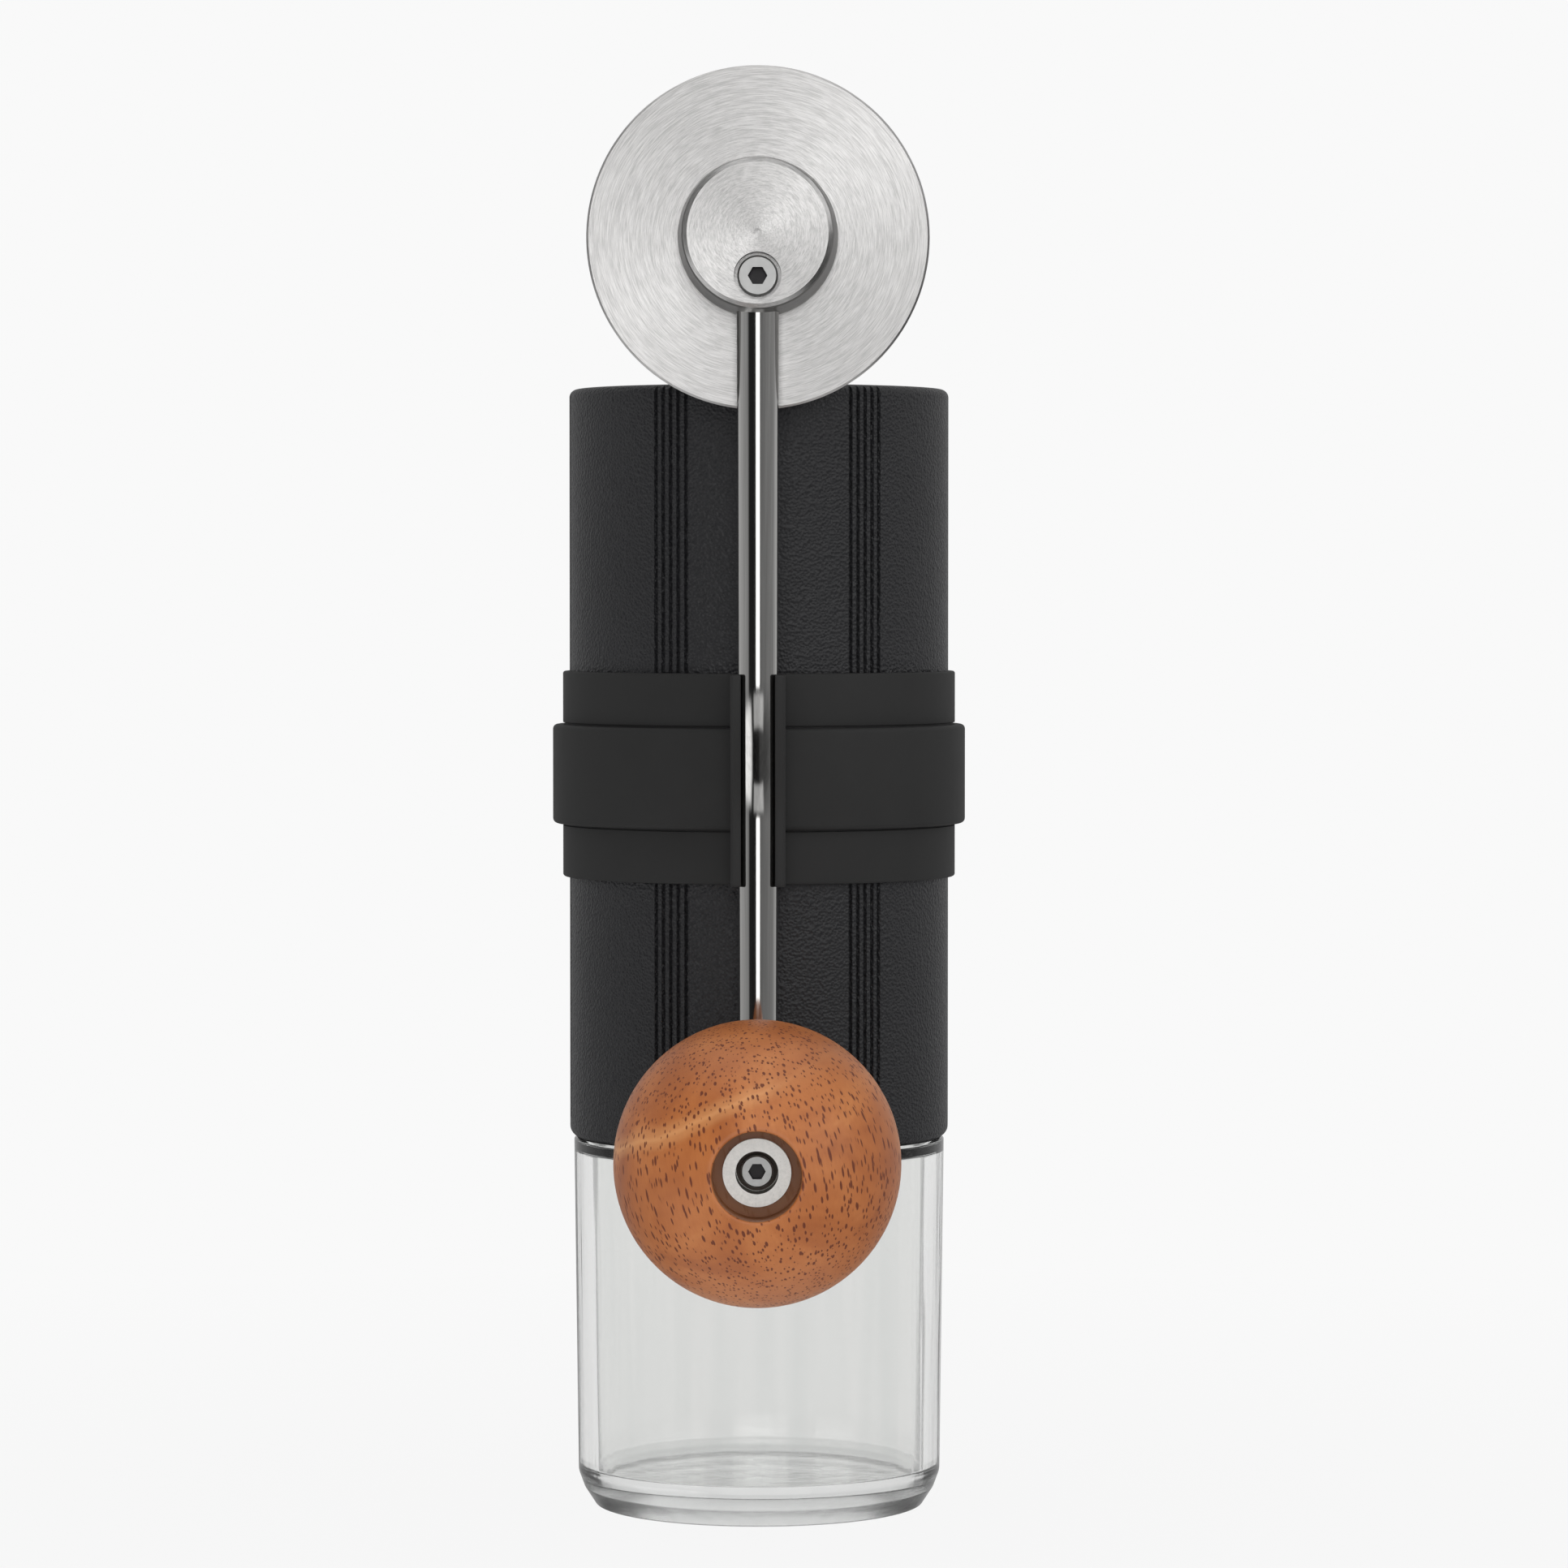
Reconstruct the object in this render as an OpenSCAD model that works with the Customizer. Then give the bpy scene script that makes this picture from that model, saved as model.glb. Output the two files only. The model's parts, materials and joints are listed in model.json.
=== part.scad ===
// Hand crank coffee grinder, stored: the crank is clipped to the front of the body.
// Origin on the grinder's axis at the base of the catch cup, +Z up, crank towards -Y.

/* [Body] */
// Outer diameter of the body tube
body_d = 56; // [54:0.5:58]
// Height of the body tube
body_h = 110.4; // [108:0.2:114]
// Number of groove groups round the body
groove_groups = 6; // [3:1:8]
// Fine grooves in each group
grooves_per_group = 5; // [3:1:6]
// Depth of each fine groove
groove_depth = 0.5; // [0.3:0.05:0.7]

/* [Catch cup] */
// Visible height of the clear cup
cup_h = 54.6; // [50:0.2:60]
// Outer diameter of the cup at its shoulder
cup_top_d = 54.8; // [54:0.1:55.4]
// Outer diameter of the cup above its base
cup_base_d = 53.6; // [52.6:0.1:54.4]
// Thickness of the cup's floor
cup_floor = 4.4; // [3:0.2:6]

/* [Grip band] */
// Height of the silicone band
band_h = 30.3; // [26:0.1:34]
// Height of the raised belt round its middle
belt_h = 14.6; // [10:0.1:18]
// Thickness of the band
band_t = 1; // [0.8:0.1:1.4]
// How far the belt stands proud of the band
belt_proud = 1.5; // [1:0.1:1.6]
// Thickness of each clip lip
lip_t = 1.5; // [1.2:0.1:1.8]

/* [Crank] */
// Diameter of the lid plate
lid_d = 48.8; // [48.2:0.1:50]
// Thickness of the lid plate
lid_t = 1.5; // [1.2:0.1:1.8]
// Distance from the lid's axis to the knob's axis
crank_len = 129.6; // [126:0.2:132]
// Diameter of the boss at its base
boss_d = 22.7; // [21:0.1:24]
// Radius of the crank arm where it leaves the boss
arm_root_r = 3; // [2.8:0.05:3.1]
// Radius of the crank arm at the knob
arm_tip_r = 2.74; // [2.6:0.02:2.8]
// Angle of the two bends in the arm
bend_angle = 18; // [16:1:22]
// Diameter of the wooden ball knob
knob_d = 40; // [38:0.5:41]

/* [Burrs] */
// Outer diameter of the ring burr
burr_d = 38; // [36:0.5:38]
// Lead of the adjusting thread
dial_lead = 0.75; // [0.5:0.05:1]
// Coarse flutes on each burr
flutes = 6; // [5:1:8]
// Fine teeth on each burr
teeth = 36; // [24:2:40]

/* [Hidden] */
$fn = 96;
eps = 0.01;

body_r = body_d / 2;
body_top = cup_h + body_h;
bore_top_r = 23.5;
bore_mid_r = 23;
bore_low_r = 22.5;
socket_r = 25.05;
socket_top = cup_h + 8.9;
groove_pitch = 2.5;
group_turn = 3.3;

band_mid = 108.35;
band_r = body_r + band_t;
belt_r = band_r + belt_proud;
lip_gap = 2.42;

shaft_r = 3.5;
hex_af = 6;
hex_play = 0.2;
hex_z = 158;
shaft_top = 164;
bearing_w = 5;
bearing_r = 7;
race_t = 1;
ball_r = 0.98;
balls = 9;
upper_z = 146;
lower_z = 96;
snap_t = 1.2;
snap_bite = 0.8;

carrier_z = 64;
carrier_h = 18;
carrier_bolt_r = 23.55;
carrier_head_r = 1.45;
carrier_shank_r = 0.78;
ring_z = 66;
ring_h = 15;
burr_z = 67;
burr_h = 16;
burr_low_r = 15.6;
burr_top_r = 7.2;
burr_gap = 0.5;
dial_z = 60;
dial_h = 6;
dial_r = 15;
stub_r = 3;
stub_z = 56.6;
seal_r = 0.55;
seal_mid_r = 24.45;
seal_rise = 3;
detent_r = 9.5;

// Lid frame: z = 0 is the underside of the gasket, +z points out of the lid, the arm runs to -y
lid_y = -31.5;
lid_z = 185.5;
gasket_t = 0.6;
plate_z = gasket_t;
bush_z = plate_z + lid_t;
boss_z = bush_z + 0.55;
boss_top_z = 13.6;
boss_top_r = 9.95;
arm_z = 6.2;
arm_low_z = 2.1;
bend_start = 62.5;
bend_run = 20.6;
bend_drop = arm_z - arm_low_z;
bend_r = (bend_run * tan(bend_angle) - bend_drop) * cos(bend_angle) / (2 * (1 - cos(bend_angle)));
bend_mid = (bend_run - 2 * bend_r * sin(bend_angle)) / cos(bend_angle);
arm_mid_r = 2.86;
arm_end = 2.6;
arm_screw_y = 6;
eye_r = 5.5;
eye_top = arm_low_z + 2.8;
knob_z = 25.2;
knob_flat = 6.4;
knob_hole_r = 6.15;
knob_floor = 37.5;
sleeve_r = 4.7;
sleeve_top = 38.2;
spindle_r = 2.45;
spindle_top = 33.5;

module tube(r_out, r_in, z0, h) {
    translate([0, 0, z0]) difference() {
        cylinder(r = r_out, h = h);
        translate([0, 0, -1]) cylinder(r = r_in, h = h + 2);
    }
}

module hexagon(af, z0, h) {
    translate([0, 0, z0]) cylinder(d = af / cos(30), h = h, $fn = 6);
}

module chamfered_disc(r, z0, h, c) {
    translate([0, 0, z0]) rotate_extrude()
        polygon([[0, 0], [r - c, 0], [r, c], [r, h - c], [r - c, h], [0, h]]);
}

module around(count, turn = 0) {
    for (i = [0 : count - 1]) rotate([0, 0, turn + i * 360 / count]) children();
}

// Carries a piece from the lid frame to where the crank is stored
module stowed() {
    translate([0, lid_y, lid_z]) rotate([90, 0, 0]) children();
}

module at_knob() {
    translate([0, -crank_len, 0]) children();
}

module cap_screw(head_r, head_h, shank_r, shank_h, key_af) {
    difference() {
        union() {
            chamfered_disc(head_r, 0, head_h, 0.25);
            translate([0, 0, -shank_h]) cylinder(r = shank_r, h = shank_h + eps);
        }
        hexagon(key_af, head_h * 0.4, head_h);
    }
}

// ---- Body ----

module fine_groove() {
    translate([0, 0, cup_h + 3]) linear_extrude(body_h)
        polygon([[body_r + 0.3, -0.46], [body_r - groove_depth, -0.1],
            [body_r - groove_depth, 0.1], [body_r + 0.3, 0.46]]);
}

module outer_body() {
    edge_top = 1.2;
    edge_low = 1.6;
    color([0.17, 0.17, 0.18]) difference() {
        rotate_extrude($fn = 128) difference() {
            union() {
                translate([0, cup_h + edge_low]) square([body_r, body_h - edge_low - edge_top]);
                translate([0, cup_h]) square([body_r - edge_low, edge_low + eps]);
                translate([0, body_top - edge_top]) square([body_r - edge_top, edge_top]);
                translate([body_r - edge_low, cup_h + edge_low]) circle(edge_low);
                translate([body_r - edge_top, body_top - edge_top]) circle(edge_top);
            }
            translate([-1, upper_z]) square([bore_top_r + 1, body_h]);
            translate([-1, lower_z]) square([bore_mid_r + 1, body_h]);
            translate([-1, cup_h - 1]) square([bore_low_r + 1, body_h - 5]);
            translate([-1, cup_h - 1]) square([socket_r + 1, socket_top - cup_h + 1]);
            translate([-1, upper_z + bearing_w]) square([bore_top_r + snap_bite + 1, snap_t]);
            translate([-1, lower_z + bearing_w]) square([bore_mid_r + snap_bite + 1, snap_t]);
        }
        for (g = [0 : groove_groups - 1], i = [0 : grooves_per_group - 1])
            rotate([0, 0, group_turn + g * 360 / groove_groups
                + (i - (grooves_per_group - 1) / 2) * groove_pitch]) fine_groove();
        around(3, 90) translate([carrier_bolt_r, 0, socket_top - 1])
            cylinder(r = carrier_shank_r + 0.05, h = 6, $fn = 24);
    }
}

// Side view of the clip, from inside the band to a set distance in front of the arm's middle
function clip_side(front) = concat([[1 - body_r, lid_z], [1 - body_r, 0]],
    [for (i = [len(arm_stations()) - 1 : -1 : 0]) let (s = arm_stations()[i])
        [lid_y - s[1] - front / cos(s[2]), i == 0 ? lid_z : lid_z - s[0]]]);

module across(half_width) {
    rotate([90, 0, 90]) linear_extrude(2 * half_width, center = true) children();
}

module grip_band() {
    lip_out = lip_gap + lip_t;
    lip_front = 2.5;
    lip_tip = 0.65;
    clip_play = 0.3;
    crease = 0.35;
    soft = 0.6;
    color([0.13, 0.13, 0.13]) difference() {
        union() {
            rotate_extrude($fn = 128) difference() {
                union() {
                    translate([body_r - 1, band_mid - band_h / 2]) square([band_t + 1, band_h]);
                    translate([body_r - 1, band_mid - belt_h / 2]) square([belt_r - soft - body_r + 1, belt_h]);
                    translate([body_r - 1, band_mid - belt_h / 2 + soft])
                        square([belt_r - body_r + 1, belt_h - 2 * soft]);
                    for (s = [-1, 1]) translate([belt_r - soft, band_mid + s * (belt_h / 2 - soft)])
                        circle(soft, $fn = 32);
                }
                for (s = [-1, 1]) translate([band_r, band_mid + s * (belt_h / 2 + crease / 2)])
                    square([crease, crease], center = true);
            }
            intersection() {
                across(lip_out) polygon(clip_side(lip_front));
                translate([0, 0, band_mid - band_h / 2]) cylinder(r = 2 * body_r, h = band_h);
            }
        }
        translate([0, 0, cup_h]) cylinder(r = body_r + 0.03, h = body_h);
        difference() {
            union() {
                across(arm_mid_r + clip_play) polygon(clip_side(lip_front - lip_tip));
                across(lip_gap) polygon(clip_side(body_r));
            }
            translate([0, 0, cup_h]) cylinder(r = band_r, h = body_h);
        }
    }
}

// ---- Bearings and bridges ----

module bridge(z0, rim_r) {
    hub_r = bearing_r + 2.4;
    rim_t = 2.2;
    difference() {
        union() {
            tube(rim_r, rim_r - rim_t, z0, bearing_w);
            tube(hub_r, bearing_r, z0, bearing_w);
            around(3, 30) translate([bearing_r + 1, -1.75, z0]) cube([rim_r - rim_t - bearing_r, 3.5, bearing_w]);
        }
        around(3, 30) translate([bearing_r + 3.5, -3, z0 - 1]) cube([rim_r - rim_t - bearing_r - 4.5, 6, 2.2]);
        translate([0, 0, z0 - 1]) cylinder(r = bearing_r + 0.02, h = bearing_w + 2);
    }
}

module snap_ring(z0, bore_r) {
    difference() {
        tube(bore_r + snap_bite - 0.1, bore_r - 0.9, z0 + 0.05, snap_t - 0.1);
        translate([bore_r - 5, -3, z0 - 1]) cube([10, 6, snap_t + 2]);
    }
}

module race(r_out, r_in, z0) {
    difference() {
        tube(r_out, r_in, z0, bearing_w);
        translate([0, 0, z0 + bearing_w / 2]) rotate_extrude() translate([bearing_mid(), 0]) circle(1.05, $fn = 32);
    }
}

function bearing_mid() = (bearing_r + shaft_r) / 2;

module bearing_outer(z0) { race(bearing_r, bearing_r - race_t, z0); }
module bearing_inner(z0) { race(shaft_r + race_t, shaft_r + 0.02, z0); }
module bearing_balls(z0) {
    around(balls) translate([bearing_mid(), 0, z0 + bearing_w / 2]) sphere(ball_r, $fn = 24);
}

module upper_bridge() { color([0.72, 0.73, 0.74]) bridge(upper_z, bore_top_r - 0.05); }
module lower_bridge() { color([0.72, 0.73, 0.74]) bridge(lower_z, bore_mid_r - 0.05); }
module upper_snap_ring() { color([0.35, 0.35, 0.36]) snap_ring(upper_z + bearing_w, bore_top_r); }
module lower_snap_ring() { color([0.35, 0.35, 0.36]) snap_ring(lower_z + bearing_w, bore_mid_r); }
module upper_bearing_outer() { color([0.66, 0.67, 0.69]) bearing_outer(upper_z); }
module lower_bearing_outer() { color([0.66, 0.67, 0.69]) bearing_outer(lower_z); }
module upper_bearing_inner() { color([0.66, 0.67, 0.69]) bearing_inner(upper_z); }
module lower_bearing_inner() { color([0.66, 0.67, 0.69]) bearing_inner(lower_z); }
module upper_bearing_balls() { color([0.82, 0.83, 0.85]) bearing_balls(upper_z); }
module lower_bearing_balls() { color([0.82, 0.83, 0.85]) bearing_balls(lower_z); }

// ---- Burrs ----

module burr_carrier() {
    lip_r = burr_d / 2 - 1;
    color([0.70, 0.70, 0.72]) difference() {
        union() {
            translate([0, 0, carrier_z - 0.5]) cylinder(r = bore_low_r - 0.05, h = carrier_h);
            translate([0, 0, socket_top - 2]) cylinder(r = socket_r - 0.2, h = 2);
        }
        translate([0, 0, ring_z]) cylinder(r = burr_d / 2 + 0.02, h = carrier_h);
        translate([0, 0, socket_top - 3]) cylinder(r = lip_r, h = carrier_h);
        around(3, 90) translate([carrier_bolt_r, 0, socket_top - 3]) {
            cylinder(r = carrier_shank_r + 0.1, h = 4, $fn = 24);
            cylinder(r = carrier_head_r + 0.15, h = 1.9, $fn = 32);
        }
    }
}

module carrier_screws() {
    color([0.25, 0.25, 0.26]) around(3, 90) translate([carrier_bolt_r, 0, socket_top - 1.1])
        rotate([180, 0, 0]) cap_screw(carrier_head_r, 1.5, carrier_shank_r, 5.4, 1.5);
}

function ring_r(z) = burr_low_r + burr_gap * 1.13 + (burr_top_r - burr_low_r) * (z - burr_z) / burr_h;

module slanted_cuts(count, r_low, r_high, z0, h, depth, width, skew) {
    lean = atan2(r_low - r_high, h);
    around(count) translate([r_low, 0, z0]) rotate([skew, -lean, 0])
        translate([0, 0, -2]) linear_extrude(h + 6) polygon([[-depth, 0], [0.6, -width], [0.6, width]]);
}

module ring_burr() {
    bite = 0.7;
    top_r = ring_r(ring_z + ring_h) + 4;
    color([0.62, 0.63, 0.65]) difference() {
        translate([0, 0, ring_z]) cylinder(r = burr_d / 2, h = ring_h);
        translate([0, 0, ring_z - eps]) cylinder(r1 = ring_r(ring_z), r2 = ring_r(ring_z + ring_h), h = ring_h + 2 * eps);
        translate([0, 0, ring_z + ring_h - 5]) cylinder(r1 = ring_r(ring_z + ring_h - 5), r2 = top_r, h = 5 + eps);
        around(teeth) translate([ring_r(ring_z), 0, ring_z])
            rotate([12, -atan2(burr_low_r - burr_top_r, burr_h), 0])
            translate([0, 0, -2]) linear_extrude(8) polygon([[-0.6, -bite], [bite, 0], [-0.6, bite]]);
        around(flutes) translate([ring_r(ring_z + 8) - 0.6, 0, ring_z + 5.5])
            rotate([24, -atan2(burr_low_r - burr_top_r, burr_h), 0]) cylinder(r = 1.7, h = 14, $fn = 32);
    }
}

module inner_burr() {
    neck_h = 3;
    color([0.66, 0.67, 0.68]) difference() {
        union() {
            translate([0, 0, burr_z]) cylinder(r1 = burr_low_r, r2 = burr_top_r, h = burr_h);
            translate([0, 0, burr_z + burr_h - eps]) cylinder(r = burr_top_r - 1, h = neck_h);
        }
        translate([0, 0, burr_z - 1]) cylinder(r = shaft_r + 0.05, h = burr_h + neck_h + 2);
        slanted_cuts(teeth, burr_low_r, burr_top_r, burr_z, 4, 0.7, 0.6, 12);
        around(flutes, 20) translate([burr_low_r - 2.4, 0, burr_z + 5.5])
            rotate([24, -atan2(burr_low_r - burr_top_r, burr_h), 0]) cylinder(r = 1.9, h = 16, $fn = 32);
        translate([-10, -1.05, burr_z + burr_h + neck_h - 2.6]) cube([20, 2.1, 5]);
        around(2) translate([detent_r, 0, burr_z]) sphere(1.05, $fn = 32);
    }
}

module detent_balls() {
    color([0.8, 0.8, 0.82]) around(2) translate([detent_r, 0, burr_z]) sphere(0.97, $fn = 32);
}

module adjust_dial() {
    knurls = 30;
    color([0.16, 0.16, 0.17]) difference() {
        union() {
            chamfered_disc(dial_r, dial_z, dial_h, 0.6);
            translate([0, 0, dial_z + dial_h - eps]) cylinder(r = 7, h = burr_z - dial_z - dial_h - 0.02);
        }
        translate([0, 0, dial_z - 1]) cylinder(r = stub_r + 0.05, h = dial_h + 4);
        around(knurls) translate([dial_r + 0.35, 0, dial_z - 1]) cylinder(r = 1, h = dial_h + 2, $fn = 24);
        translate([0, 0, dial_z - eps]) cylinder(r = 5.2, h = 1.6);
    }
}

// Closed solid through a row of rings of points, each ring anticlockwise about the way the row runs
module skin(rings) {
    sides = len(rings[0]);
    last = len(rings) - 1;
    walls = [for (i = [0 : last - 1], j = [0 : sides - 1]) let (k = (j + 1) % sides)
        [i * sides + j, (i + 1) * sides + j, (i + 1) * sides + k, i * sides + k]];
    polyhedron([for (ring = rings) each ring], concat(walls,
        [[for (j = [0 : sides - 1]) j], [for (j = [sides - 1 : -1 : 0]) last * sides + j]]), convexity = 6);
}

module coil_spring(r, wire_r, turns, h) {
    steps = 20;
    sides = 8;
    count = turns * steps;
    skin([for (i = [0 : count]) let (a = i * 360 / steps, z = wire_r + (h - 2 * wire_r) * i / count)
        [for (j = [0 : sides - 1]) let (b = -j * 360 / sides, c = r + wire_r * cos(b))
            [c * cos(a), c * sin(a), z + wire_r * sin(b)]]]);
}

module burr_spring() {
    spring_z = burr_z + burr_h + 3;
    color([0.75, 0.76, 0.78]) translate([0, 0, spring_z])
        coil_spring(4.7, 0.55, 4, lower_z - 1.2 - spring_z);
}

// ---- Drive shaft ----

module drive_shaft() {
    color([0.78, 0.79, 0.80]) difference() {
        union() {
            translate([0, 0, burr_z]) cylinder(r = shaft_r, h = hex_z - burr_z);
            intersection() {
                hexagon(hex_af, hex_z - eps, shaft_top - hex_z);
                translate([0, 0, hex_z - 1]) rotate_extrude()
                    polygon([[0, 0], [4, 0], [4, 6], [2.4, 7], [0, 7]]);
            }
            translate([0, 0, stub_z]) cylinder(r = stub_r, h = burr_z - stub_z + eps);
        }
        for (z = [upper_z + bearing_w, lower_z - 0.8]) tube(shaft_r + 1, shaft_r - 0.5, z, 0.8);
        translate([-10, 0, burr_z + burr_h + 1.6]) rotate([0, 90, 0]) cylinder(r = 0.98, h = 20, $fn = 32);
        translate([0, 0, stub_z - 1]) cylinder(r = 1.55, h = 9, $fn = 32);
    }
}

module shaft_clips() {
    color([0.3, 0.3, 0.31]) for (z = [upper_z + bearing_w, lower_z - 0.8]) difference() {
        tube(shaft_r + 1.1, shaft_r - 0.45, z + 0.02, 0.76);
        translate([0, -1.6, z - 1]) cube([8, 3.2, 4]);
    }
}

module burr_drive_pin() {
    color([0.7, 0.7, 0.72]) translate([-6, 0, burr_z + burr_h + 1.6]) rotate([0, 90, 0])
        cylinder(r = 0.96, h = 12, $fn = 32);
}

module shaft_end_washer() {
    color([0.72, 0.73, 0.74]) tube(4.6, 1.7, stub_z - 0.9, 0.88);
}

module shaft_end_screw() {
    color([0.28, 0.28, 0.29]) translate([0, 0, stub_z - 0.92]) rotate([180, 0, 0])
        cap_screw(2.75, 1.8, 1.5, 7.5, 2);
}

// ---- Catch cup ----

module catch_cup() {
    base_r = cup_base_d / 2;
    top_r = cup_top_d / 2;
    neck_r = 24.85;
    neck_h = 6.2;
    foot_r = 24.2;
    inner_r = base_r - 2.6;
    inner_top_r = 23.1;
    color([0.86, 0.90, 0.92, 0.35]) rotate_extrude($fn = 128) difference() {
        polygon([[0, 0], [foot_r, 0], [base_r - 0.9, 2.6],
            [base_r, 5], [top_r, cup_h - 0.5], [top_r - 0.5, cup_h], [neck_r, cup_h],
            [neck_r, cup_h + neck_h - 0.4], [neck_r - 0.4, cup_h + neck_h], [0, cup_h + neck_h]]);
        polygon([[-1, cup_floor], [inner_r - 1.6, cup_floor], [inner_r - 0.5, cup_floor + 0.5],
            [inner_r, cup_floor + 1.6], [top_r - 2.7, cup_h - 4], [inner_top_r, cup_h - 1],
            [inner_top_r, cup_h + neck_h + 1], [-1, cup_h + neck_h + 1]]);
        translate([seal_mid_r, cup_h + seal_rise]) circle(seal_r + 0.02, $fn = 32);
        translate([seal_mid_r, cup_h + seal_rise - seal_r - 0.02]) square([2, 2 * seal_r + 0.04]);
    }
}

module cup_seal() {
    color([0.8, 0.8, 0.78]) translate([0, 0, cup_h + seal_rise]) rotate_extrude($fn = 128)
        translate([seal_mid_r, 0]) circle(seal_r, $fn = 32);
}

// ---- Lid ----

module lid_plate() {
    color([0.82, 0.82, 0.83]) stowed() difference() {
        chamfered_disc(lid_d / 2, plate_z, lid_t, 0.3);
        cylinder(r = 6.05, h = 10);
    }
}

module lid_gasket() {
    color([0.2, 0.2, 0.2]) stowed() tube(lid_d / 2 - 0.3, 20.5, 0, gasket_t - 0.01);
}

module lid_bush() {
    color([0.1, 0.1, 0.1]) stowed() difference() {
        union() {
            translate([0, 0, plate_z - 0.5]) cylinder(r = 6, h = lid_t + 0.52);
            translate([0, 0, bush_z + 0.01]) cylinder(r = 8.5, h = 0.5);
        }
        translate([0, 0, -1]) cylinder(r = 4.95, h = 6);
    }
}

// ---- Crank ----

// Straight length of the arm from a to b along -y, at height z, tapering
module arm_straight(a, b, z, r_a, r_b) {
    translate([0, -a, z]) rotate([90, 0, 0]) cylinder(r1 = r_a, r2 = r_b, h = b - a);
}

// The arm from end to end, as [distance along -y, z, slope, radius]
function arm_stations() = let (steps = 6, bend_end = bend_start + bend_run) concat(
    [[arm_end, arm_z, 0, arm_root_r]],
    [for (i = [0 : steps]) let (t = bend_angle * i / steps)
        [bend_start + bend_r * sin(t), arm_z - bend_r * (1 - cos(t)), t, arm_mid_r]],
    [for (i = [steps : -1 : 0]) let (t = bend_angle * i / steps)
        [bend_end - bend_r * sin(t), arm_low_z + bend_r * (1 - cos(t)), t, arm_mid_r]],
    [[crank_len - 1, arm_low_z, 0, arm_tip_r]]);

module arm_bar() {
    sides = 32;
    skin([for (s = arm_stations()) [for (j = [0 : sides - 1]) let (b = j * 360 / sides)
        [s[3] * cos(b), -s[0] - s[3] * sin(b) * sin(s[2]), s[1] + s[3] * sin(b) * cos(s[2])]]]);
}

module crank_arm() {
    color([0.8, 0.8, 0.81]) stowed() difference() {
        union() {
            arm_bar();
            at_knob() chamfered_disc(eye_r, arm_low_z - arm_tip_r, eye_top - arm_low_z + arm_tip_r, 0.5);
        }
        translate([0, -arm_screw_y, -1]) cylinder(r = 1.55, h = 12, $fn = 32);
        at_knob() translate([0, 0, -3]) cylinder(r = 2.05, h = 12, $fn = 48);
    }
}

module crank_boss() {
    r = boss_d / 2;
    color([0.78, 0.78, 0.79]) stowed() difference() {
        rotate_extrude($fn = 128) polygon([[0, -0.75], [3.95, -0.75], [3.95, 0.5], [4.9, 0.5], [4.9, boss_z],
            [r - 0.3, boss_z], [r, boss_z + 0.3], [r, boss_z + 1.4], [boss_top_r + 0.75, boss_top_z - 1.1],
            [boss_top_r + 0.55, boss_top_z - 0.4], [boss_top_r, boss_top_z], [0.9, boss_top_z],
            [0, boss_top_z - 0.6]]);
        arm_straight(arm_end - 0.1, 20, arm_z, arm_root_r + 0.03, arm_root_r + 0.03);
        translate([0, -arm_screw_y, arm_z]) cylinder(r = 1.6, h = 12, $fn = 32);
        translate([0, -arm_screw_y, boss_top_z - 3.2]) cylinder(r = 3.35, h = 5, $fn = 48);
        translate([0, -arm_screw_y, 3]) cylinder(r = 1.55, h = 3, $fn = 32);
    }
}

module arm_screw() {
    color([0.35, 0.35, 0.36]) stowed() translate([0, -arm_screw_y, boss_top_z - 3.19])
        cap_screw(2.85, 3, 1.5, 7.2, 2.4);
}

module drive_socket() {
    socket_h = 6;
    color([0.7, 0.7, 0.72]) stowed() difference() {
        union() {
            chamfered_disc(7, -socket_h, socket_h - 0.02, 0.5);
            translate([0, 0, -1]) cylinder(r = 4.85, h = 1.48);
        }
        hexagon(hex_af + 2 * hex_play, -socket_h - 1, socket_h + 0.2);
        translate([0, 0, -0.8]) cylinder(r = 4, h = 3);
    }
}

// ---- Knob ----

module knob_spindle() {
    color([0.72, 0.73, 0.74]) stowed() at_knob() difference() {
        union() {
            translate([0, 0, arm_low_z - 2.4]) cylinder(r = 2, h = 8);
            translate([0, 0, eye_top + 0.01]) cylinder(r = spindle_r, h = spindle_top - eye_top);
            translate([0, 0, eye_top + 0.01]) cylinder(r = 4.4, h = 0.6);
        }
        translate([0, 0, spindle_top - 8]) cylinder(r = 1.3, h = 10, $fn = 32);
    }
}

module knob_washer() {
    color([0.3, 0.3, 0.3]) stowed() at_knob() tube(2.85, 1.4, spindle_top + 0.02, 0.5);
}

module knob_screw() {
    color([0.6, 0.6, 0.61]) stowed() at_knob() translate([0, 0, spindle_top + 0.54])
        cap_screw(2.28, 2.5, 1.25, 7, 2.1);
}

module knob_sleeve() {
    color([0.62, 0.62, 0.63]) stowed() at_knob() difference() {
        translate([0, 0, eye_top + 0.75]) cylinder(r = sleeve_r, h = sleeve_top - eye_top - 0.75);
        cylinder(r = spindle_r + 0.05, h = 60);
        translate([0, 0, spindle_top]) cylinder(r = 2.95, h = 10);
    }
}

module knob_ball() {
    color([0.69, 0.45, 0.28]) stowed() at_knob() difference() {
        translate([0, 0, knob_z]) sphere(d = knob_d, $fn = 128);
        translate([-30, -30, knob_flat - 20]) cube([60, 60, 20]);
        cylinder(r = sleeve_r + 0.01, h = 60);
        translate([0, 0, knob_floor]) cylinder(r = knob_hole_r, h = 20);
        translate([0, 0, knob_z + knob_d / 2 - 1.5]) cylinder(r1 = knob_hole_r - 0.1, r2 = knob_hole_r + 1.4, h = 1.5);
    }
}

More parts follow.
